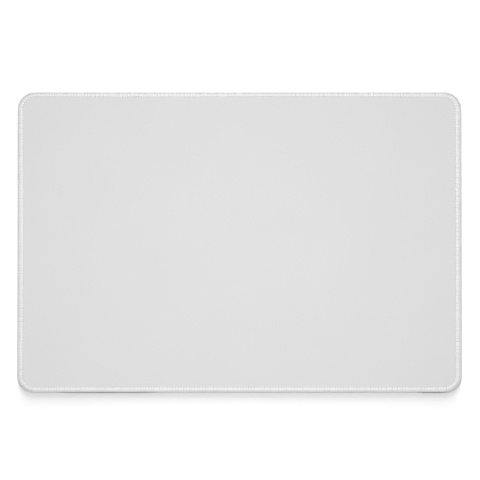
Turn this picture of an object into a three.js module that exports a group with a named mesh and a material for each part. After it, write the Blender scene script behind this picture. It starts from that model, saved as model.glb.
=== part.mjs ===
// A soft mouse pad with an overlocked edge, in millimetres, +Z up, lying on Z = 0.
// A foam rubber sheet carries a knitted face cloth on a film of glue. The three are cut flush,
// and a three-thread overlock seam is sewn round the cut edge and squeezes it round.
// The origin is under the middle of the pad, and the long sides run along X.
import * as THREE from "three";

// Finished size, measured over the sewn edge
const padLength = 300;
const padDepth = 205;
const cornerRadius = 11.5;

// The sheets, from the top down
const clothThickness = 0.5;
const filmThickness = 0.1;
const foamThickness = 2.4;

// The overlock seam
const seamWidth = 3.3; // from the outside of the threads to the line of needle holes
const stitchPitch = 1.83;
const looperThickness = 0.5; // the two bulky threads that wrap the edge
const needleThickness = 0.3; // the fine thread along the needle holes
const seatGap = 0.05; // between a thread and what it lies on
const meetGap = 0.05; // between the two looper threads, at the rim
const soleGap = 0.1; // between the lower thread and the desk

// How the seam deforms the sheets
const edgeRound = 1.25; // how far in from the rim the squeezed edge is rounded
const crestSink = 0.15; // the cloth's drop over the squeezed edge
const needleSink = 0.12; // the cloth's drop at the line of needle holes
const sinkRun = 1.2; // from the needle holes in to where the sheets lie level
const rimShare = 0.2; // height of the rim, from the foam's underside up to the crest
const noseShare = 0.4; // 0 rounds the edge like an ellipse, 1 like a chamfer

// The rounded edge turns a quarter turn from its rim up to its crest, and another down to its
// underside. The sheets and the ribs of thread have their points at these shares of a turn.
const sheetTurnShares = [1 / 3, 2 / 3, 1];
const foamTurnShares = [0, ...sheetTurnShares];
const ribTurnShares = [0, 1 / 2, 1];

// Shapes of the threads
const ribLeanShares = [0, 0.3, 0.6, 0.9]; // lean along the seam from the edge inwards, of a stitch
const valleyShare = 0.6; // thickness left between two ribs
const bightShare = 0.5; // thickness left where the needle thread holds the loops

// How finely the outline is divided
const cornerSteps = 8;
const stitchesPerStep = 12;
const needleSides = 6;

// Heights and insets that follow from the sizes above
const quarterTurn = Math.PI / 2;
const padThickness = foamThickness + filmThickness + clothThickness;
const crestInset = looperThickness + seatGap + edgeRound;
const loopEndInset = seamWidth - needleThickness / 2 - seatGap;
const levelInset = seamWidth + sinkRun;
const crestHeight = padThickness - crestSink;
const needleHeight = padThickness - needleSink;
const soleHeight = soleGap + looperThickness + seatGap; // the foam's underside within the seam
const rimHeight = soleHeight + rimShare * (crestHeight - soleHeight);

// The outline is walked anticlockwise from the left end of the front side. A distance is measured
// along the needle holes, so that points of one distance lie on one line square to the edge.
const sides = [0, 1, 2, 3].map((turns) => {
  const endSide = turns % 2 === 1;
  return {
    along: new THREE.Vector2(1, 0).rotateAround(new THREE.Vector2(), turns * quarterTurn),
    out: new THREE.Vector2(0, -1).rotateAround(new THREE.Vector2(), turns * quarterTurn),
    length: (endSide ? padDepth : padLength) - 2 * cornerRadius,
    reach: (endSide ? padLength : padDepth) / 2,
  };
});
const cornerLength = (cornerRadius - seamWidth) * quarterTurn;
const seamLength = sides.reduce((sum, side) => sum + side.length + cornerLength, 0);
const stitchCount = Math.round(seamLength / stitchPitch);
const stitchLength = seamLength / stitchCount;

function outlinePoint(distance, inset, height) {
  let rest = distance % seamLength;
  let index = 0;
  while (index < sides.length - 1 && rest > sides[index].length + cornerLength) {
    rest -= sides[index].length + cornerLength;
    index += 1;
  }
  const side = sides[index];
  const straight = Math.min(rest, side.length);
  const turn = ((rest - straight) / cornerLength) * quarterTurn;
  const flat = side.along.clone().multiplyScalar(straight - side.length / 2)
    .addScaledVector(side.out, side.reach - cornerRadius)
    .addScaledVector(side.out.clone().rotateAround(new THREE.Vector2(), turn), cornerRadius - inset);
  return new THREE.Vector3(flat.x, flat.y, height);
}

// Distances of the sections of a smooth surface: the corners in even steps, the straight sides
// in steps of so many stitches.
function sectionDistances(stitches) {
  const distances = [];
  let start = 0;
  for (const side of sides) {
    const steps = Math.ceil(side.length / (stitchLength * stitches));
    for (let i = 0; i < steps; i += 1) {
      distances.push(start + (side.length * i) / steps);
    }
    start += side.length;
    for (let i = 0; i < cornerSteps; i += 1) {
      distances.push(start + (cornerLength * i) / cornerSteps);
    }
    start += cornerLength;
  }
  return distances;
}
const sheetDistances = sectionDistances(stitchCount);
const threadDistances = sectionDistances(stitchesPerStep);

// A ring is one line round the pad: its points, and the distance of each point.
function ring(distances, [inset, height]) {
  return { distances, points: distances.map((distance) => outlinePoint(distance, inset, height)) };
}

// A ring through the stitches, with a point for each share of the thread's thickness that is left
// in a stitch. place(share) gives the inset and height of such a point.
function stitchRing(leanShare, shares, place) {
  const distances = [];
  const points = [];
  for (let i = 0; i < shares.length * stitchCount; i += 1) {
    const distance = (i / shares.length + leanShare) * stitchLength;
    distances.push(distance);
    points.push(outlinePoint(distance, ...place(shares[i % shares.length])));
  }
  return { distances, points };
}

// Indices of the strip of triangles between two rings, which may have different numbers of points:
// the strip steps along whichever ring is behind.
function strip(a, b) {
  const indices = [];
  const passed = (r, i) => (i < r.points.length ? r.distances[i] : r.distances[0] + seamLength);
  const at = (r, i) => r.start + (i % r.points.length);
  let i = 0;
  let j = 0;
  while (i < a.points.length || j < b.points.length) {
    const stepA = j === b.points.length || (i < a.points.length && passed(a, i + 1) <= passed(b, j + 1));
    indices.push(at(a, i), stepA ? at(a, i + 1) : at(b, j + 1), at(b, j));
    i += stepA ? 1 : 0;
    j += stepA ? 0 : 1;
  }
  return indices;
}

// Indices of a flat lid inside a ring.
function lid(r, facesDown) {
  const contour = r.points.map((point) => new THREE.Vector2(point.x, point.y));
  const triangles = THREE.ShapeUtils.triangulateShape(contour, []);
  return triangles.flatMap(([p, q, s]) => (facesDown ? [p, s, q] : [p, q, s]))
    .map((index) => r.start + index);
}

// Joins rings, listed anticlockwise as seen in a section through the front edge from the right,
// into one closed surface. The last ring is joined to the first, or both are closed by lids.
function skin(rings, lids) {
  const positions = [];
  for (const r of rings) {
    r.start = positions.length / 3;
    r.points.forEach((point) => positions.push(...point.toArray()));
  }
  const indices = [];
  for (let k = 1; k < rings.length; k += 1) {
    indices.push(...strip(rings[k - 1], rings[k]));
  }
  const first = rings[0];
  const last = rings[rings.length - 1];
  if (lids) {
    indices.push(...lid(first, true), ...lid(last, false));
  } else {
    indices.push(...strip(last, first));
  }
  const geometry = new THREE.BufferGeometry();
  geometry.setAttribute("position", new THREE.Float32BufferAttribute(positions, 3));
  geometry.setIndex(indices);
  geometry.computeVertexNormals();
  return geometry;
}

// The inset and height of a point on the rounded edge, which has this radius across the edge and
// runs from the base height to the crest.
function roundPoint(turnShare, radius, base, crest) {
  const turn = turnShare * quarterTurn;
  const across = Math.cos(turn) ** (1 + noseShare);
  const up = Math.sin(turn) ** (1 + noseShare);
  return [crestInset - radius * across, base + (crest - base) * up];
}

// The cloth's upper surface as a line of insets and heights, from the cut end to the level part
const clothLine = [
  ...sheetTurnShares.map((share) => roundPoint(share, edgeRound, rimHeight, crestHeight)),
  [seamWidth, needleHeight],
  [levelInset, padThickness],
];

// The same line at a depth below it, measured square to the sheet
function lineBelow(line, depth) {
  return line.map(([inset, height], i) => {
    if (i === line.length - 1) return [inset, height - depth];
    const before = line[Math.max(i - 1, 0)];
    const after = line[i + 1];
    const run = after[0] - before[0];
    const rise = after[1] - before[1];
    const span = Math.hypot(run, rise);
    return [inset + (depth * rise) / span, height - (depth * run) / span];
  });
}
const filmLine = lineBelow(clothLine, clothThickness);
const foamLine = lineBelow(clothLine, clothThickness + filmThickness);

// A sheet between two lines, closed across the pad at their level ends
function sheet(upperLine, lowerLine) {
  const line = [...lowerLine].reverse().concat(upperLine);
  return skin(line.map((place) => ring(sheetDistances, place)), true);
}

function clothMaterial() {
  return new THREE.MeshStandardMaterial({ color: 0xcecece, roughness: 0.9 });
}

function filmMaterial() {
  return new THREE.MeshStandardMaterial({ color: 0xe8e6de, roughness: 0.5 });
}

function foamMaterial() {
  return new THREE.MeshStandardMaterial({ color: 0x1c1c1d, roughness: 0.85 });
}

function threadMaterial() {
  return new THREE.MeshStandardMaterial({ color: 0xe9e9e9, roughness: 0.7 });
}

function faceCloth() {
  return new THREE.Mesh(sheet(clothLine, filmLine), clothMaterial());
}

function bondingFilm() {
  return new THREE.Mesh(sheet(filmLine, foamLine), filmMaterial());
}

// The foam bulges out under the cloth's cut end, and its underside is lifted within the seam, so
// that the lower thread stays off the desk.
function foamBase() {
  const underLine = [
    ...foamTurnShares.map((share) => roundPoint(share, edgeRound, rimHeight, soleHeight)),
    [seamWidth, soleHeight],
    [levelInset, 0],
  ];
  return new THREE.Mesh(sheet(foamLine, underLine), foamMaterial());
}

// The side of a looper thread that lies on the sheets
function seatRings(base, crest) {
  return foamTurnShares.map((share) => (
    ring(threadDistances, roundPoint(share, edgeRound + seatGap, base, crest))
  ));
}

// The upper looper thread wraps the edge from the rim to the needle holes. Its loops lie as
// leaning ribs side by side, highest over the crest and flatter where the needle thread holds them.
function upperLooperThread() {
  const base = rimHeight + meetGap / 2;
  const seat = crestHeight + seatGap;
  const slope = (needleHeight - crestHeight) / (seamWidth - crestInset);
  const endSeat = seat + slope * (loopEndInset - crestInset);
  const ribs = ribTurnShares.map((turnShare, i) => {
    const shares = i === 0 ? [1] : [1, valleyShare];
    return stitchRing(ribLeanShares[i], shares, (share) => {
      const bulk = share * looperThickness;
      return roundPoint(turnShare, edgeRound + seatGap + bulk, base, seat + bulk);
    });
  });
  const bights = stitchRing(ribLeanShares[ribs.length], [bightShare], (share) => (
    [loopEndInset, endSeat + share * looperThickness]
  ));
  const end = ring(threadDistances, [loopEndInset, endSeat]);
  const rings = [...ribs, bights, end, ...seatRings(base, seat).reverse()];
  return new THREE.Mesh(skin(rings, false), threadMaterial());
}

// The lower looper thread is its twin under the pad, with its ribs pressed level where the pad
// stands on them.
function lowerLooperThread() {
  const base = rimHeight - meetGap / 2;
  const seat = soleHeight - seatGap;
  const ribs = ribTurnShares.map((turnShare, i) => {
    const shares = i === 0 || turnShare === 1 ? [1] : [1, valleyShare];
    return stitchRing(ribLeanShares[i], shares, (share) => {
      const bulk = share * looperThickness;
      return roundPoint(turnShare, edgeRound + seatGap + bulk, base, seat - bulk);
    });
  });
  const ends = [seat, soleGap].map((height) => ring(threadDistances, [seamWidth, height]));
  const rings = [...seatRings(base, seat), ...ends, ...ribs.reverse()];
  return new THREE.Mesh(skin(rings, false), threadMaterial());
}

// The needle thread lies in the groove along the needle holes.
function needleThread() {
  const radius = needleThickness / 2;
  const middle = needleHeight + seatGap + radius;
  const rings = [];
  for (let i = 0; i < needleSides; i += 1) {
    const turn = ((i + 1 / 2) / needleSides) * 4 * quarterTurn;
    const place = [seamWidth - radius * Math.cos(turn), middle + radius * Math.sin(turn)];
    rings.push(ring(sheetDistances, place));
  }
  return new THREE.Mesh(skin(rings, false), threadMaterial());
}

const pieces = {
  face_cloth: faceCloth(),
  bonding_film: bondingFilm(),
  foam_base: foamBase(),
  upper_looper_thread: upperLooperThread(),
  lower_looper_thread: lowerLooperThread(),
  needle_thread: needleThread(),
};
const group = new THREE.Group();
for (const [name, piece] of Object.entries(pieces)) {
  piece.name = name;
  group.add(piece);
}

export default group;
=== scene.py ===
"""A soft mouse pad with an overlocked edge, dressed for its photograph. Lengths are in metres."""

import math
import random

import bpy
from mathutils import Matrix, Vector


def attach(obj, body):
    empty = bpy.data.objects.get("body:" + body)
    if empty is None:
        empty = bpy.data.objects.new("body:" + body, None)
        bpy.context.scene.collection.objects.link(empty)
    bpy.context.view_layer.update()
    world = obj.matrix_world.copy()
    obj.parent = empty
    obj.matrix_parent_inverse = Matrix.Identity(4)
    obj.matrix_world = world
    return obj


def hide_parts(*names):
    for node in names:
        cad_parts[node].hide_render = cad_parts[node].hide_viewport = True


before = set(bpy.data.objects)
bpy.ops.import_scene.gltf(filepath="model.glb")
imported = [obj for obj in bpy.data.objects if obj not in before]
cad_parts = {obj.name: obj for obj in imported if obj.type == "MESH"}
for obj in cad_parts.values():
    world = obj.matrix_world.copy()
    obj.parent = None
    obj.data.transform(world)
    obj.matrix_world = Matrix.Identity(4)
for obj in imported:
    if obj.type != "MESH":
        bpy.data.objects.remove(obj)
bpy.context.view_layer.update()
bpy.ops.object.select_all(action="DESELECT")

# Foam base
# The black sheet under the cloth is foam rubber, moulded with a grip relief on its underside and
# die cut. The seam squeezes its edge round, and lifts it a little off the desk along the stitches.
mm = 0.001
pad_length = 300 * mm
pad_depth = 205 * mm
corner_radius = 11.5 * mm
foam_thickness = 2.4 * mm
film_thickness = 0.1 * mm
cloth_thickness = 0.5 * mm
pad_thickness = foam_thickness + film_thickness + cloth_thickness

seam_width = 3.3 * mm  # from the outside of the threads in to the row of needle holes
stitch_pitch = 1.83 * mm
looper_thickness = 0.5 * mm
thread_gap = 0.05 * mm  # between a thread and the sheet that it lies on
edge_round = 1.25 * mm  # how far in from the rim the squeezed edge is rounded
upper_nose = 1.4  # 1 would round it like an ellipse, 2 like a chamfer
lower_nose = 0.65  # the pad's weight presses it squarer below its rim
crest_sink = 0.15 * mm  # the drop of the cloth over the squeezed edge
needle_sink = 0.06 * mm  # and along the needle holes
sink_run = 1.2 * mm  # from the needle holes in to where the sheets lie level
sole_lift = 0.65 * mm  # the foam's underside over the lower threads
rim_share = 0.2  # height of the rim, from the underside up to the crest
edge_settle = 0.45 * mm  # how much lower the rim lies along the long sides
seam_start_height = 46 * mm  # above the left end's middle, where the seam starts and closes

quarter_turn = math.pi / 2
crest_inset = looper_thickness + thread_gap + edge_round
crest_height = pad_thickness - crest_sink
rim_height = sole_lift + rim_share * (crest_height - sole_lift)
level_inset = seam_width + sink_run
long_side = pad_length - 2 * corner_radius
short_side = pad_depth - 2 * corner_radius
corner_run = (corner_radius - seam_width) * quarter_turn
seam_length = 2 * (long_side + short_side) + 4 * corner_run
stitch_count = round(seam_length / stitch_pitch)
stitch_length = seam_length / stitch_count
seam_start = seam_length - corner_run - short_side / 2 - seam_start_height


def outline(distance):
    """The point of the pad's outline square to a place on the needle line, and the way out there.

    Distances run anticlockwise along the needle line from the left end of the front side.
    """
    rest = distance % seam_length
    for quarter in range(4):
        length, reach = ((long_side, pad_depth), (short_side, pad_length))[quarter % 2]
        if rest <= length + corner_run or quarter == 3:
            break
        rest -= length + corner_run
    straight = min(rest, length)
    heading = quarter * quarter_turn
    turned = heading + (rest - straight) / corner_run * quarter_turn
    along = Vector((math.cos(heading), math.sin(heading), 0))
    side_out = Vector((math.sin(heading), -math.cos(heading), 0))
    out = Vector((math.sin(turned), -math.cos(turned), 0))
    centre = along * (straight - length / 2) + side_out * (reach / 2 - corner_radius)
    return centre + out * corner_radius, out


def edge_round_place(turn, lift, side):
    """Inset and height on the rounded edge, or at a lift over it.

    Turn 0 is its rim, and turn 1 its crest, which is above on side 1 and below on side -1. A turn
    below 0 is past the rim, on the other side.
    """
    angle = turn * quarter_turn
    if side * math.copysign(1, turn) > 0:
        nose, rise = upper_nose, crest_height - rim_height + lift
    else:
        nose, rise = lower_nose, sole_lift - rim_height - lift
    reach = (edge_round + lift) * math.cos(angle) ** nose
    return crest_inset - reach, rim_height + rise * abs(math.sin(angle)) ** nose


def smooth(share):
    """Eases from 0 at a share of 0 or less to 1 at a share of 1 or more."""
    share = min(max(share, 0), 1)
    return share * share * (3 - 2 * share)


def cloth_height(inset):
    """Height of the cloth's face from the crest inwards, between the stitches."""
    if inset < seam_width:
        pinch = smooth((inset - crest_inset) / (seam_width - crest_inset))
        return pad_thickness - crest_sink - (needle_sink - crest_sink) * pinch
    return pad_thickness - needle_sink * (1 - smooth((inset - seam_width) / sink_run))


open_stretches = (  # the middle of each, and how far it is fully open to each side of that
    (long_side / 2 - 89 * mm, 22 * mm),
    (long_side / 2 + 130.5 * mm, 6 * mm),
    (seam_start + 0.3 * mm, 0.9 * mm),
)


def gaping(distance):
    """How far the threads stand open over the rim, from 0 to 1.

    They do so on two stretches of the front, and where the seam closes on its own start. To each
    side, a stretch closes over the same length again.
    """
    return max(smooth(2 - abs(distance % seam_length - middle) / half_length)
               for middle, half_length in open_stretches)


seam_wander = 0.1 * mm  # how far each of two slow waves takes the line of needle holes
wander_waves = ((31 * mm, 0), (83 * mm, 1.7))  # the run of one radian of each, and its start
left_end_drift = -0.1 * mm
long_side_drift = -0.25 * mm
right_end_drift = 0.15 * mm


def drift(distance):
    """How far the line of needle holes wanders inwards off its place.

    The seam was sewn a little narrower along the long sides and wider along the right end, and
    it doesn't close where it started.
    """
    out = outline(distance)[1]
    along = distance - seam_start
    wander = seam_wander * sum(math.sin(along / run + start) for run, start in wander_waves)
    to_long_side = (long_side_drift - left_end_drift) * abs(out.y)
    to_right_end = (right_end_drift - left_end_drift) * max(out.x, 0)
    return wander + left_end_drift + to_long_side + to_right_end


foam_swell = 1 * mm  # how far the foam swells out where the threads stand open
end_swell_share = 0.65  # how much of that is left at the ends of the pad
loop_swell_share = 0.11  # how much of it comes out under an upper loop
gap_swell_share = 1.03  # and between two of them
swell_fade = 6  # the higher this is, the closer the swell keeps to the rim


def swelling(distance, inset):
    """How far the foam swells out between gaping threads, most at its rim on the long sides."""
    stitch_turn = 2 * math.pi * (distance - seam_start) / stitch_length
    near_loop = 0.5 + 0.5 * math.cos(stitch_turn)
    between = gap_swell_share + (loop_swell_share - gap_swell_share) * near_loop
    outer_share = max(crest_inset - inset, 0) / edge_round
    side_share = max(abs(outline(distance)[1].y), end_swell_share)
    return foam_swell * side_share * gaping(distance) * between * outer_share ** swell_fade


def settling(distance, inset):
    """How far the edge has settled towards the desk.

    The knit gives way most across its columns, so the seam draws the long sides lower.
    """
    out = outline(distance)[1]
    return edge_settle * abs(out.y) * smooth((crest_inset - inset) / edge_round)


cloth_turn_shares = (0.2, 0.4, 0.6, 0.8)
pinch_run_shares = (0, 1 / 3, 0.6, 0.8, 1)
level_run_shares = (0.25, 0.5, 0.75, 1, 1.6)
face_line = [edge_round_place(turn, 0, 1) for turn in cloth_turn_shares]
for share in pinch_run_shares:
    inset = crest_inset + share * (seam_width - crest_inset)
    face_line.append((inset, cloth_height(inset)))
for share in level_run_shares:
    inset = seam_width + share * sink_run
    face_line.append((inset, cloth_height(inset)))


def line_below(depth):
    """The face line moved down by a depth, square to the sheet."""
    moved = []
    for i, (inset, height) in enumerate(face_line):
        before = face_line[max(i - 1, 0)]
        after = face_line[min(i + 1, len(face_line) - 1)]
        run = after[0] - before[0]
        rise = after[1] - before[1]
        span = math.hypot(run, rise)
        moved.append((inset + depth * rise / span, height - depth * run / span))
    return moved


same_distance = 1e-7  # distances along the seam that differ by less are the same


class Shell:
    """Points and faces of one mesh.

    A ring goes once round the pad: a list of distances along the seam and numbers of points.
    """

    def __init__(self):
        self.points = []
        self.faces = []

    def ring(self, distances, place):
        """A ring of new points, which place gives for their distances."""
        start = len(self.points)
        self.points += [place(distance) for distance in distances]
        return [(distance, start + i) for i, distance in enumerate(distances)]

    def join(self, a, b):
        """Faces between two rings round the pad, which step along whichever ring is behind."""
        i = j = 0
        while i < len(a) or j < len(b):
            next_a = a[(i + 1) % len(a)][0] + (seam_length if i + 1 >= len(a) else 0)
            next_b = b[(j + 1) % len(b)][0] + (seam_length if j + 1 >= len(b) else 0)
            p, q = a[i % len(a)][1], b[j % len(b)][1]
            p_next, q_next = a[(i + 1) % len(a)][1], b[(j + 1) % len(b)][1]
            if i < len(a) and j < len(b) and abs(next_a - next_b) < same_distance:
                self.faces.append((p, p_next, q_next, q))
                i += 1
                j += 1
            elif j >= len(b) or (i < len(a) and next_a < next_b):
                self.faces.append((p, p_next, q))
                i += 1
            else:
                self.faces.append((p, q_next, q))
                j += 1

    def build(self, name):
        """The mesh as an object at the origin, shaded smooth."""
        mesh = bpy.data.meshes.new(name)
        mesh.from_pydata(self.points, [], self.faces)
        mesh.validate()
        mesh.shade_smooth()
        piece = bpy.data.objects.new(name, mesh)
        bpy.context.collection.objects.link(piece)
        return piece


level_cell = 7 * mm  # size of a cell of the sheets' level parts


def level_part(shell, ring, height, facing):
    """Closes a ring with a level grid of cells.

    facing is 1 for a face side and -1 for an underside.
    """
    columns = round(long_side / level_cell)
    rows = round(short_side / level_cell)
    grid = []
    for row in range(rows + 1):
        y = short_side * (row / rows - 0.5)
        for column in range(columns + 1):
            x = long_side * (column / columns - 0.5)
            grid.append(len(shell.points))
            shell.points.append(Vector((x, y, height)))
    wide = columns + 1
    for row in range(rows):
        for column in range(columns):
            corner = row * wide + column
            quad = (corner, corner + 1, corner + wide + 1, corner + wide)[::facing]
            shell.faces.append(tuple(grid[i] for i in quad))
    rim = [(i, long_side * i / columns) for i in range(columns)]
    start = long_side + corner_run
    rim += [(columns + i * wide, start + short_side * i / rows) for i in range(rows)]
    start += short_side + corner_run
    rim += [(rows * wide + columns - i, start + long_side * i / columns) for i in range(columns)]
    start += long_side + corner_run
    rim += [((rows - i) * wide, start + short_side * i / rows) for i in range(rows)]
    rim = [(distance, grid[i]) for i, distance in rim]
    shift = min(range(len(rim)), key=lambda i: (rim[i][0] - ring[0][0]) % seam_length)
    rim = [(distance + (seam_length if distance < ring[0][0] else 0), i)
           for distance, i in rim[shift:] + rim[:shift]]
    if facing > 0:
        shell.join(ring, rim)
    else:
        shell.join(rim, ring)


plain_points = 2  # points of a ring for each stitch
dimple_points = 8  # and where the stitches pull dimples


def sheet(name, under_line, face_side_line, dimples=None):
    """A closed sheet between two lines that run from its cut edge in to its level part.

    dimples gives how far from the needle line the face side's mesh is made fine for them, and their
    drop at a distance and inset. The mesh keeps the drop in millimetres as its attribute "dent".
    """
    shell = Shell()
    dents = {}

    def ring(place, drop, points_per_stitch):
        inset, height = place
        steps = stitch_count * points_per_stitch

        def point(distance):
            rim, out = outline(distance)
            outwards = swelling(distance, inset) - inset
            level = height - drop(distance, inset) - settling(distance, inset)
            return rim + out * outwards + Vector((0, 0, level))

        made = shell.ring([seam_start + seam_length * i / steps for i in range(steps)], point)
        dents.update((index, drop(distance, inset) / mm) for distance, index in made)
        return made

    def flat(distance, inset):
        return 0

    zone, dimple_drop = dimples or (0, flat)
    rings = [ring(place, flat, plain_points) for place in under_line[::-1]]
    for place in face_side_line:
        if abs(place[0] - seam_width) < zone:
            rings.append(ring(place, dimple_drop, dimple_points))
        else:
            rings.append(ring(place, flat, plain_points))
    level_part(shell, rings[0], under_line[-1][1], -1)
    for a, b in zip(rings, rings[1:]):
        shell.join(a, b)
    level_part(shell, rings[-1], face_side_line[-1][1], 1)
    made = shell.build(name)
    attribute = made.data.attributes.new("dent", "FLOAT", "POINT")
    for index, depth in dents.items():
        attribute.data[index].value = depth
    return made


under_turn_shares = (0, 1 / 3, 2 / 3, 1)
level_margin = 0.5 * mm  # of the underside, so that its shading starts level
foam_under = [edge_round_place(turn, 0, -1) for turn in under_turn_shares]
foam_under += [(seam_width, sole_lift), (level_inset, 0), (level_inset + level_margin, 0)]
foam_top = line_below(cloth_thickness + film_thickness)
foam_sheet = sheet("foam_sheet", foam_under, foam_top)
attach(foam_sheet, "root")
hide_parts("foam_base")


class Shade:
    """A socket in a material's node tree. Arithmetic on it adds Math nodes."""

    def __init__(self, tree, socket=None):
        self.tree = tree
        self.socket = socket

    def node(self, kind, settings=None, inputs=None, output=0):
        """Adds a node with its settings, then its sockets' values or links, and wraps an output."""
        node = self.tree.nodes.new("ShaderNode" + kind)
        for name, value in (settings or {}).items():
            setattr(node, name, value)
        for name, value in (inputs or {}).items():
            if isinstance(value, Shade):
                self.tree.links.new(value.socket, node.inputs[name])
            else:
                node.inputs[name].default_value = value
        return Shade(self.tree, node.outputs[output])

    def math(self, operation, *operands):
        return self.node("Math", {"operation": operation}, dict(enumerate(operands)))

    def __add__(self, other):
        return self.math("ADD", self, other)

    def __sub__(self, other):
        return self.math("SUBTRACT", self, other)

    def __rsub__(self, other):
        return self.math("SUBTRACT", other, self)

    def __mul__(self, other):
        return self.math("MULTIPLY", self, other)

    def __truediv__(self, other):
        return self.math("DIVIDE", self, other)

    def __rtruediv__(self, other):
        return self.math("DIVIDE", other, self)

    __radd__ = __add__
    __rmul__ = __mul__

    def wave(self, pitch):
        """A cosine of the socket with this pitch, from 0 to 1."""
        return self.math("COSINE", self * (2 * math.pi / pitch)) * 0.5 + 0.5

    def axes(self):
        """The three parts of a vector."""
        return [self.node("SeparateXYZ", None, {"Vector": self}, part) for part in range(3)]


def material(name, colour, roughness, **constants):
    """A material and its shader node, with its constants set.

    A pattern that is linked to the colour or the roughness later varies it about its constant.
    """
    made = bpy.data.materials.new(name)
    made.use_nodes = True
    shader = made.node_tree.nodes["Principled BSDF"]
    shader.inputs["Base Color"].default_value = (*colour, 1)
    shader.inputs["Roughness"].default_value = roughness
    for socket, value in constants.items():
        shader.inputs[socket.replace("_", " ")].default_value = value
    return made, shader


foam_black = (0.022, 0.022, 0.023)
bare_roughness = 0.7  # of the foam where it hasn't bloomed
bloom_roughness = 0.2  # what a full bloom adds to it


def foam_rubber(name, height_of, depth):
    """Black rubber whose surface has a relief: height_of gives its height from 0 to 1."""
    made, shader = material(name, foam_black, roughness=0.8, Specular_IOR_Level=0.35)
    tree = made.node_tree
    place = Shade(tree).node("TexCoord", output="Object")
    height = height_of(place)
    bump = place.node("Bump", None, {"Distance": depth, "Strength": 1.0, "Height": height})
    bloom = place.node("TexNoise", None, {"Vector": place, "Scale": 90.0, "Detail": 3.0})
    roughness = bloom * bloom_roughness + bare_roughness
    tree.links.new(bump.socket, shader.inputs["Normal"])
    tree.links.new(roughness.socket, shader.inputs["Roughness"])
    return made


pore_depth = 0.12 * mm
pore_steepness = 1.6  # of a pore's sides, before its walls' tops cut them flat


def cut_pores(place):
    """Cells of the foam, opened by the die."""
    cells = place.node("TexVoronoi", None, {"Vector": place, "Scale": 3500.0})
    return cells.math("MINIMUM", cells * pore_steepness, 1.0)


rib_depth = 0.25 * mm
rib_pitch = 2.6 * mm
rib_steepness = 1.5  # of a rib's sides, before its top is cut flat
rib_shoulder = 0.3  # how softly its sides go over into its top
rib_sway = 1.1 * mm  # how far the ribs swing to and fro
sway_pitch = 6 * mm
grain_share = 0.15  # of the relief's depth


def grip_relief(place):
    """Wavy ribs across the underside, pressed flat on top, with a fine grain over them."""
    across, along, _ = place.axes()
    rib = (along + across.wave(sway_pitch) * rib_sway).wave(rib_pitch)
    pressed = rib.math("SMOOTH_MIN", rib * rib_steepness, 1.0, rib_shoulder)
    grain = place.node("TexNoise", None, {"Vector": place, "Scale": 2600.0, "Detail": 1.0})
    return pressed * (1 - grain_share) + grain * grain_share


underside_normal = -0.9  # faces that point further down than this belong to the underside
foam_sheet.data.materials.append(foam_rubber("foam_cut", cut_pores, pore_depth))
foam_sheet.data.materials.append(foam_rubber("foam_grip", grip_relief, rib_depth))
for face in foam_sheet.data.polygons:
    face.material_index = 1 if face.normal.z < underside_normal else 0

# Bonding film
# A hot-melt film that holds the cloth to the foam. It is rolled on between them and melted
# through, so that only its cut edge lies open under the threads.
film_top = line_below(cloth_thickness)
glue_film = sheet("glue_film", foam_top, film_top)
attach(glue_film, "root")
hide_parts("bonding_film")
film_colour = (0.78, 0.77, 0.72)
flow_depth = 0.05 * mm
melted, melted_shader = material("melted_film", film_colour, roughness=0.45)
melted_place = Shade(melted.node_tree).node("TexCoord", output="Object")
melted_flow = melted_place.node("TexNoise", None, {"Vector": melted_place, "Scale": 400.0})
melted_bump = melted_place.node("Bump", None, {"Distance": flow_depth, "Height": melted_flow})
melted.node_tree.links.new(melted_bump.socket, melted_shader.inputs["Normal"])
glue_film.data.materials.append(melted)

# Face cloth
# A fine polyester knit, heat pressed on to the foam. It is dyed an even light grey, and each
# stitch of the seam pulls a small dimple in it.
hole_depth = 0.5 * mm
hole_reach = 0.45 * mm
hole_inset = seam_width + 0.25 * mm  # the threads pull each hole open on its inner side
hole_zone = 0.95 * mm  # how far from the needle line the mesh is fine enough for dimples
loosest_stitch = 0.7  # the share of a dimple's depth that it pulls
tightest_stitch = 1.1
chance = random.Random(41)
tightness = [chance.uniform(loosest_stitch, tightest_stitch) for _ in range(stitch_count)]


def needle_hole(distance, inset):
    """The drop of the cloth where a stitch's needle has gone through."""
    stitch = (distance - seam_start) / stitch_length
    aside = (stitch - round(stitch)) * stitch_length
    inwards = inset - hole_inset - drift(distance)
    near = 1 - math.hypot(aside, inwards) / hole_reach
    return hole_depth * smooth(near) * tightness[round(stitch) % stitch_count]


knit_face = sheet("knit_face", film_top, face_line, (hole_zone, needle_hole))
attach(knit_face, "root")
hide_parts("face_cloth")


wale = 0.5 * mm  # width of a column of the knit
course = 0.4 * mm  # height of one of its stitches
course_lean = 0.6 * course  # how far a stitch's two sides lean into their V
knit_depth = 0.06 * mm
stitch_share = 0.5  # how much of that depth is in the stitches
column_share = 0.3  # in the columns
fibre_share = 0.2  # and in the fibres
cloth_grey = (0.62, 0.62, 0.625)
# Painted shade in the knit's relief: its colour is lighter on the tops of the stitches and darker in
# the hollows.
hollow_shade = 0.57  # how light the knit is in its hollows
painted_relief_shade = 0.06  # how much lighter on top
dye_shade = 0.02  # and where it has taken less of the dye
blue_share = 1.006  # its blue to its red and green
# Painted shade down each dimple, which also stands in for the black foam in its needle hole: the
# knit is drawn darker the deeper the dimple.
dent_shade = 3  # the share of its light that is lost in each millimetre down a dimple
shallow_shade = 0.2  # taken off that share, so that the dimple's shallow edge stays light
darkest_shade = 0.8  # the most that is lost


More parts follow.
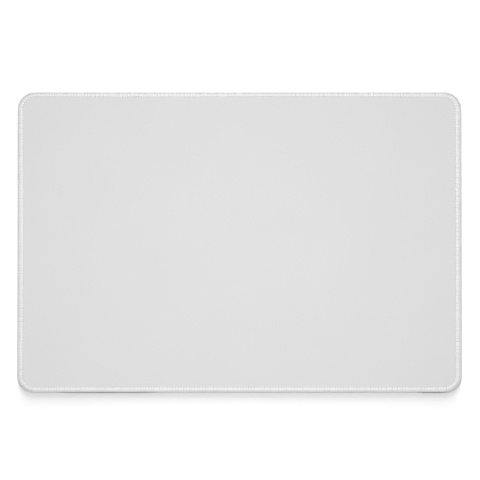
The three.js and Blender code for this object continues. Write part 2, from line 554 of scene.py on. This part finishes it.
def knit_cloth():
    """Columns of tiny V shaped stitches, dyed slightly unevenly, with painted shade in their
    hollows. Each dimple is painted darker with its depth: painted shade, which also stands in for
    the black foam showing through its needle hole.
    """
    made, shader = material("knit_cloth", cloth_grey, roughness=0.9, Specular_IOR_Level=0.2,
                            Sheen_Weight=0.15, Sheen_Roughness=0.6)
    tree = made.node_tree
    place = Shade(tree).node("TexCoord", output="Object")
    across, along, _ = place.axes()
    column = across.wave(wale)
    loops = (along + column * course_lean).wave(course)
    fibres = place.node("TexNoise", None, {"Vector": place, "Scale": 2200.0, "Detail": 2.0})
    height = loops * stitch_share + column * column_share + fibres * fibre_share
    bump = place.node("Bump", None, {"Distance": knit_depth, "Strength": 1.0, "Height": height})
    dye = place.node("TexNoise", None, {"Vector": place, "Scale": 25.0, "Detail": 4.0})
    dent = place.node("Attribute", {"attribute_name": "dent"}, output="Fac")
    # painted shade in the dimples, standing in also for the foam in the needle holes
    dimple_shade_and_foam = dent.math("MAXIMUM", dent * dent_shade - shallow_shade, 0.0)
    dimple_shade_and_foam = dent.math("MINIMUM", dimple_shade_and_foam, darkest_shade)
    # painted shade from the relief and the dimples, besides the uneven dye
    shade = (dye * dye_shade + height * painted_relief_shade + hollow_shade) * (1 - dimple_shade_and_foam)
    blue = shade * blue_share
    colour = place.node("CombineColor", None, {"Red": shade, "Green": shade, "Blue": blue})
    tree.links.new(bump.socket, shader.inputs["Normal"])
    tree.links.new(colour.socket, shader.inputs["Base Color"])
    return made


knit_face.data.materials.append(knit_cloth())

# Upper looper thread
# A bulky white polyester yarn. The overlock machine lays it in loops over the top of the edge,
# from the rim, where it locks with the lower thread, to the needle thread, which holds its ends.
thread_sides = 5
fan_share = 0.7  # how much of the extra room on a corner the bulky yarn fills
loop_play = 0.4 * mm  # how far off its place across the edge a wholly uneven loop would lie
sag_slant = 0.6  # how far a hanging bend swings in, as a share of its sag


def fanning(distance, inset):
    """How much wider the loops spread round a corner, where they fan out."""
    on_corner = distance % seam_length
    for quarter in range(4):
        on_corner -= (long_side, short_side)[quarter % 2]
        if 0 <= on_corner <= corner_run:
            return 1 + fan_share * (seam_width - inset) / (corner_radius - seam_width)
        on_corner -= corner_run
    return 1


def sew(name, stations, seed, uneven, sag=0):
    """One yarn through every stitch round the pad, closed on itself.

    A station is a share of a stitch, an inset, a height, the direction that its flat side faces
    (outwards and up), a width and a thickness. uneven is how much the stitches differ, as a share,
    and sag is how far the bends at the rim hang where they gape. The yarn never goes below the desk.
    """
    loose = random.Random(seed)
    centres = []
    facings = []
    sizes = []
    for stitch in range(stitch_count):
        shift = loose.uniform(-uneven, uneven)
        bulk = loose.uniform(1 - uneven, 1 + uneven)
        lay = loose.uniform(-uneven, uneven) * loop_play
        for share, inset, height, (outwards, up), width, thickness in stations:
            free = smooth(inset / crest_inset)
            distance = seam_start + (stitch + share + shift * free) * stitch_length
            slack = gaping(distance) * (1 - free)
            inwards = inset + (lay + drift(distance)) * free + sag * sag_slant * slack
            level = height - settling(distance, inset) - sag * slack
            rim, out = outline(distance)
            centres.append(rim - out * inwards + Vector((0, 0, level)))
            facings.append((out * outwards + Vector((0, 0, up))).normalized())
            sizes.append((width * bulk * fanning(distance, inset) / 2, thickness * bulk / 2))
    shell = Shell()
    count = len(centres)
    lengths = [0]
    for i, centre in enumerate(centres):
        forward = (centres[(i + 1) % count] - centres[i - 1]).normalized()
        aside = forward.cross(facings[i]).normalized()
        up = aside.cross(forward)
        width, thickness = sizes[i]
        resting = math.hypot(width * aside.z, thickness * up.z)
        middle = Vector((centre.x, centre.y, max(centre.z, resting)))
        for side in range(thread_sides):
            angle = side / thread_sides * 2 * math.pi
            across = aside * width * math.cos(angle)
            over = up * thickness * math.sin(angle)
            shell.points.append(middle + across + over)
        lengths.append(lengths[-1] + (centres[(i + 1) % count] - centre).length)
    corners = []
    for i in range(count):
        a = i * thread_sides
        b = (i + 1) % count * thread_sides
        near = lengths[i] / mm
        far = lengths[i + 1] / mm
        for side in range(thread_sides):
            beside = (side + 1) % thread_sides
            shell.faces.append((a + side, b + side, b + beside, a + beside))
            low = side / thread_sides
            high = (side + 1) / thread_sides
            corners += [(near, low), (far, low), (far, high), (near, high)]
    piece = shell.build(name)
    along = piece.data.uv_layers.new(name="along_yarn")
    for corner, place in zip(along.data, corners):
        corner.uv = place
    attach(piece, "root")
    return piece


thread_white = (0.82, 0.82, 0.82)
yarn_depth = 0.06 * mm
ply_share = 0.6  # how much of that depth is in the plies, and not in their filaments
filaments_along = 1.5  # how many lie end to end in a millimetre
filaments_around = 26
# Painted shade in the yarn's relief: it is drawn darker between its plies and lighter on top of
# them.
yarn_shade = 0.8  # how light a yarn is between its plies
painted_ply_shade = 0.05  # how much lighter on top


def yarn(name, twist, plies):
    """White yarn: plies twisted round each other, of fine filaments, with painted shade that makes
    it darker between its plies and lighter on top of them.

    twist is the run of one turn in millimetres, which is also the unit of the map along the yarn.
    """
    made, shader = material(name, thread_white, roughness=0.75, Specular_IOR_Level=0.3,
                            Sheen_Weight=0.2, Sheen_Roughness=0.5)
    tree = made.node_tree
    place = Shade(tree).node("TexCoord", output="UV")
    along, around, _ = place.axes()
    lay = (along / twist + around * plies).wave(1.0)
    strands = place.node(
        "CombineXYZ", None, {"X": along * filaments_along, "Y": around * filaments_around})
    filaments = place.node("TexNoise", None, {"Vector": strands, "Scale": 1.0, "Detail": 2.0})
    height = lay * ply_share + filaments * (1 - ply_share)
    bump = place.node("Bump", None, {"Distance": yarn_depth, "Strength": 1.0, "Height": height})
    # painted shade that follows the plies' relief
    shade = height * painted_ply_shade + yarn_shade
    colour = place.node("CombineColor", None, {"Red": shade, "Green": shade, "Blue": shade})
    tree.links.new(bump.socket, shader.inputs["Normal"])
    tree.links.new(colour.socket, shader.inputs["Base Color"])
    return made


looper_yarn = yarn("looper_yarn", twist=0.9, plies=2)
looper_width = 0.94 * mm
looper_lift = looper_thickness / 2 + thread_gap  # of a loop's middle over the rounded edge
bight_reach = 0.26 * mm  # how far past the needle line a loop turns back
bight_share = 0.8  # how wide it is there
# Where a loop goes round the edge: the share of a stitch, the turn, and how bulky it is there.
looper_leg_shares = ((0, -0.15, 1), (0.1, -0.04, 1.1), (0.2, 0.22, 1.15), (0.24, 0.62, 1.02))
# And over the level part: the share of a stitch, the share of the way in, and how bulky it is.
looper_run_shares = ((0.26, 0.25, 1), (0.33, 1, 0.95))


def looper_stations(side, phase):
    """Half a stitch from the rim over the edge to the needle line, and the same way back.

    side is 1 over the pad and -1 under it, and phase the share of a stitch where the loop starts.
    """
    half = []
    for share, turn, bulk in looper_leg_shares:
        inset, height = edge_round_place(turn, looper_lift, side)
        angle = turn * quarter_turn
        facing = (math.cos(angle), side * math.sin(angle))
        half.append((share, inset, height, facing, looper_width * bulk, looper_thickness * bulk))
    for share, run, bulk in looper_run_shares:
        inset = crest_inset + run * (seam_width - crest_inset)
        surface = cloth_height(inset) if side > 0 else sole_lift
        height = surface + side * (thread_gap + looper_thickness * bulk / 2)
        half.append((share, inset, height, (0, side), looper_width * bulk, looper_thickness * bulk))
    end_height, end_facing, _, end_thickness = half[-1][2:]
    bight = (0.5, seam_width + bight_reach, end_height, end_facing, looper_width * bight_share,
             end_thickness)
    back = [(1 - station[0], *station[1:]) for station in half[:0:-1]]
    return [(station[0] + phase, *station[1:]) for station in half + [bight] + back]


looper_uneven = 0.06
upper_loops = sew("upper_loops", looper_stations(1, 0), 7, looper_uneven)
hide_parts("upper_looper_thread")
upper_loops.data.materials.append(looper_yarn)

# Lower looper thread
# The same yarn, looped under the edge half a stitch on, so that the two threads' bends
# alternate along the rim. Where the seam gapes, its bends hang down and bare the foam.
bend_sag = 0.5 * mm
lower_loops = sew("lower_loops", looper_stations(-1, 0.5), 11, looper_uneven, bend_sag)
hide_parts("lower_looper_thread")
lower_loops.data.materials.append(looper_yarn)

# Needle thread
# A finer white thread sewn through the sheets. From each hole it runs over the ends of the upper
# loops to the next, and under the pad it holds the ends of the lower ones.
needle_width = 0.32 * mm
held_above_share = 0.85  # thickness left of an upper loop where the needle thread holds it
held_below_share = 0.7  # and of a lower one
needle_bed_share = 0.3  # how much of its own width the needle thread's middle lies over a loop
hole_top = cloth_height(seam_width)
hole_dip = 0.45 * mm  # how deep it slants into a hole, before it goes straight through
arch_drop = 0.1 * mm  # from the middle of a stitch to its shoulders
under_bend = 0.3 * mm  # of its turn round the lower loops, outwards and up
over_loops = (hole_top + thread_gap + looper_thickness * held_above_share
              + needle_width * needle_bed_share)
under_loops = sole_lift - thread_gap - looper_thickness * held_below_share
facing_out = (1, 0)
needle_stations = [
    (share, seam_width + aside, height, facing_out, needle_width, needle_width)
    for share, aside, height in (
        (0.05, 0, hole_top - hole_dip),
        (0.1, 0, hole_top + thread_gap),
        (0.26, 0, over_loops - arch_drop),
        (0.5, 0, over_loops),
        (0.74, 0, over_loops - arch_drop),
        (0.9, 0, hole_top + thread_gap),
        (0.95, 0, hole_top - hole_dip),
        (0.97, 0, under_loops + under_bend),
        (0.98, -under_bend, under_loops),
        (1.02, -under_bend, under_loops),
        (1.03, 0, under_loops + under_bend),
    )
]
needle_uneven = 0.08
needle_stitches = sew("needle_stitches", needle_stations, 13, needle_uneven)
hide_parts("needle_thread")
needle_stitches.data.materials.append(yarn("needle_yarn", twist=0.6, plies=3))

# Floor, lights and camera
# A softbox overhead and a low one in front light the pad on its plain white floor. An ellipse far
# behind lights the floor alone, evenly white, and its narrow top lets the shadow fade from the pad.
floor_white = (0.58, 0.58, 0.58)
bpy.ops.object.select_all(action="DESELECT")
bpy.ops.mesh.primitive_plane_add(size=6)
floor = bpy.context.object
floor.name = "floor"
floor.data.materials.append(material("white_floor", floor_white, roughness=0.9)[0])

scene = bpy.context.scene
scene.view_settings.view_transform = "Standard"
scene.view_settings.look = "None"
world = bpy.data.worlds.new("studio")
scene.world = world
world.use_nodes = True
sky = world.node_tree.nodes["Background"]
sky.inputs["Color"].default_value = (1, 1, 1, 1)
sky.inputs["Strength"].default_value = 0.24


def softbox(name, place, width, height, power, shape="RECTANGLE"):
    """An area lamp that points at the middle of the pad's underside."""
    data = bpy.data.lights.new(name, "AREA")
    data.shape = shape
    data.size = width
    data.size_y = height
    data.energy = power
    lamp = bpy.data.objects.new(name, data)
    bpy.context.collection.objects.link(lamp)
    lamp.location = place
    lamp.rotation_euler = (-Vector(place)).to_track_quat("-Z", "Y").to_euler()
    lamp.visible_camera = False
    return lamp


softbox("overhead", (0, 0.01, 0.74), width=0.3, height=0.3, power=5.78)
softbox("fill", (0, -2.6, 0.35), width=4, height=0.5, power=7)
background_light = softbox(
    "background_light", (0, 9.25, 3.37), width=3.2, height=8, power=1890, shape="ELLIPSE")
lit_background = bpy.data.collections.new("lit_background")
lit_background.objects.link(floor)
background_light.light_linking.receiver_collection = lit_background

photo_pixels = 480  # width of the photograph
pad_pixels = 443.6  # length of the pad in it
pad_left_pixels = 0.45  # how far left of the photograph's middle the pad's lies
pad_low_pixels = 1.8  # and how far below it
pixel = pad_length / pad_pixels
camera_tilt = math.radians(8)
camera_distance = 12
sensor_width = 36
camera_way = Vector((0, -math.sin(camera_tilt), math.cos(camera_tilt)))
target = Vector((pad_left_pixels * pixel, pad_low_pixels * pixel, pad_thickness))
bpy.ops.object.camera_add(
    location=target + camera_way * camera_distance, rotation=(camera_tilt, 0, 0))
camera = bpy.context.object
camera.data.sensor_width = sensor_width
camera.data.lens = sensor_width * camera_distance / (photo_pixels * pixel)
scene.camera = camera
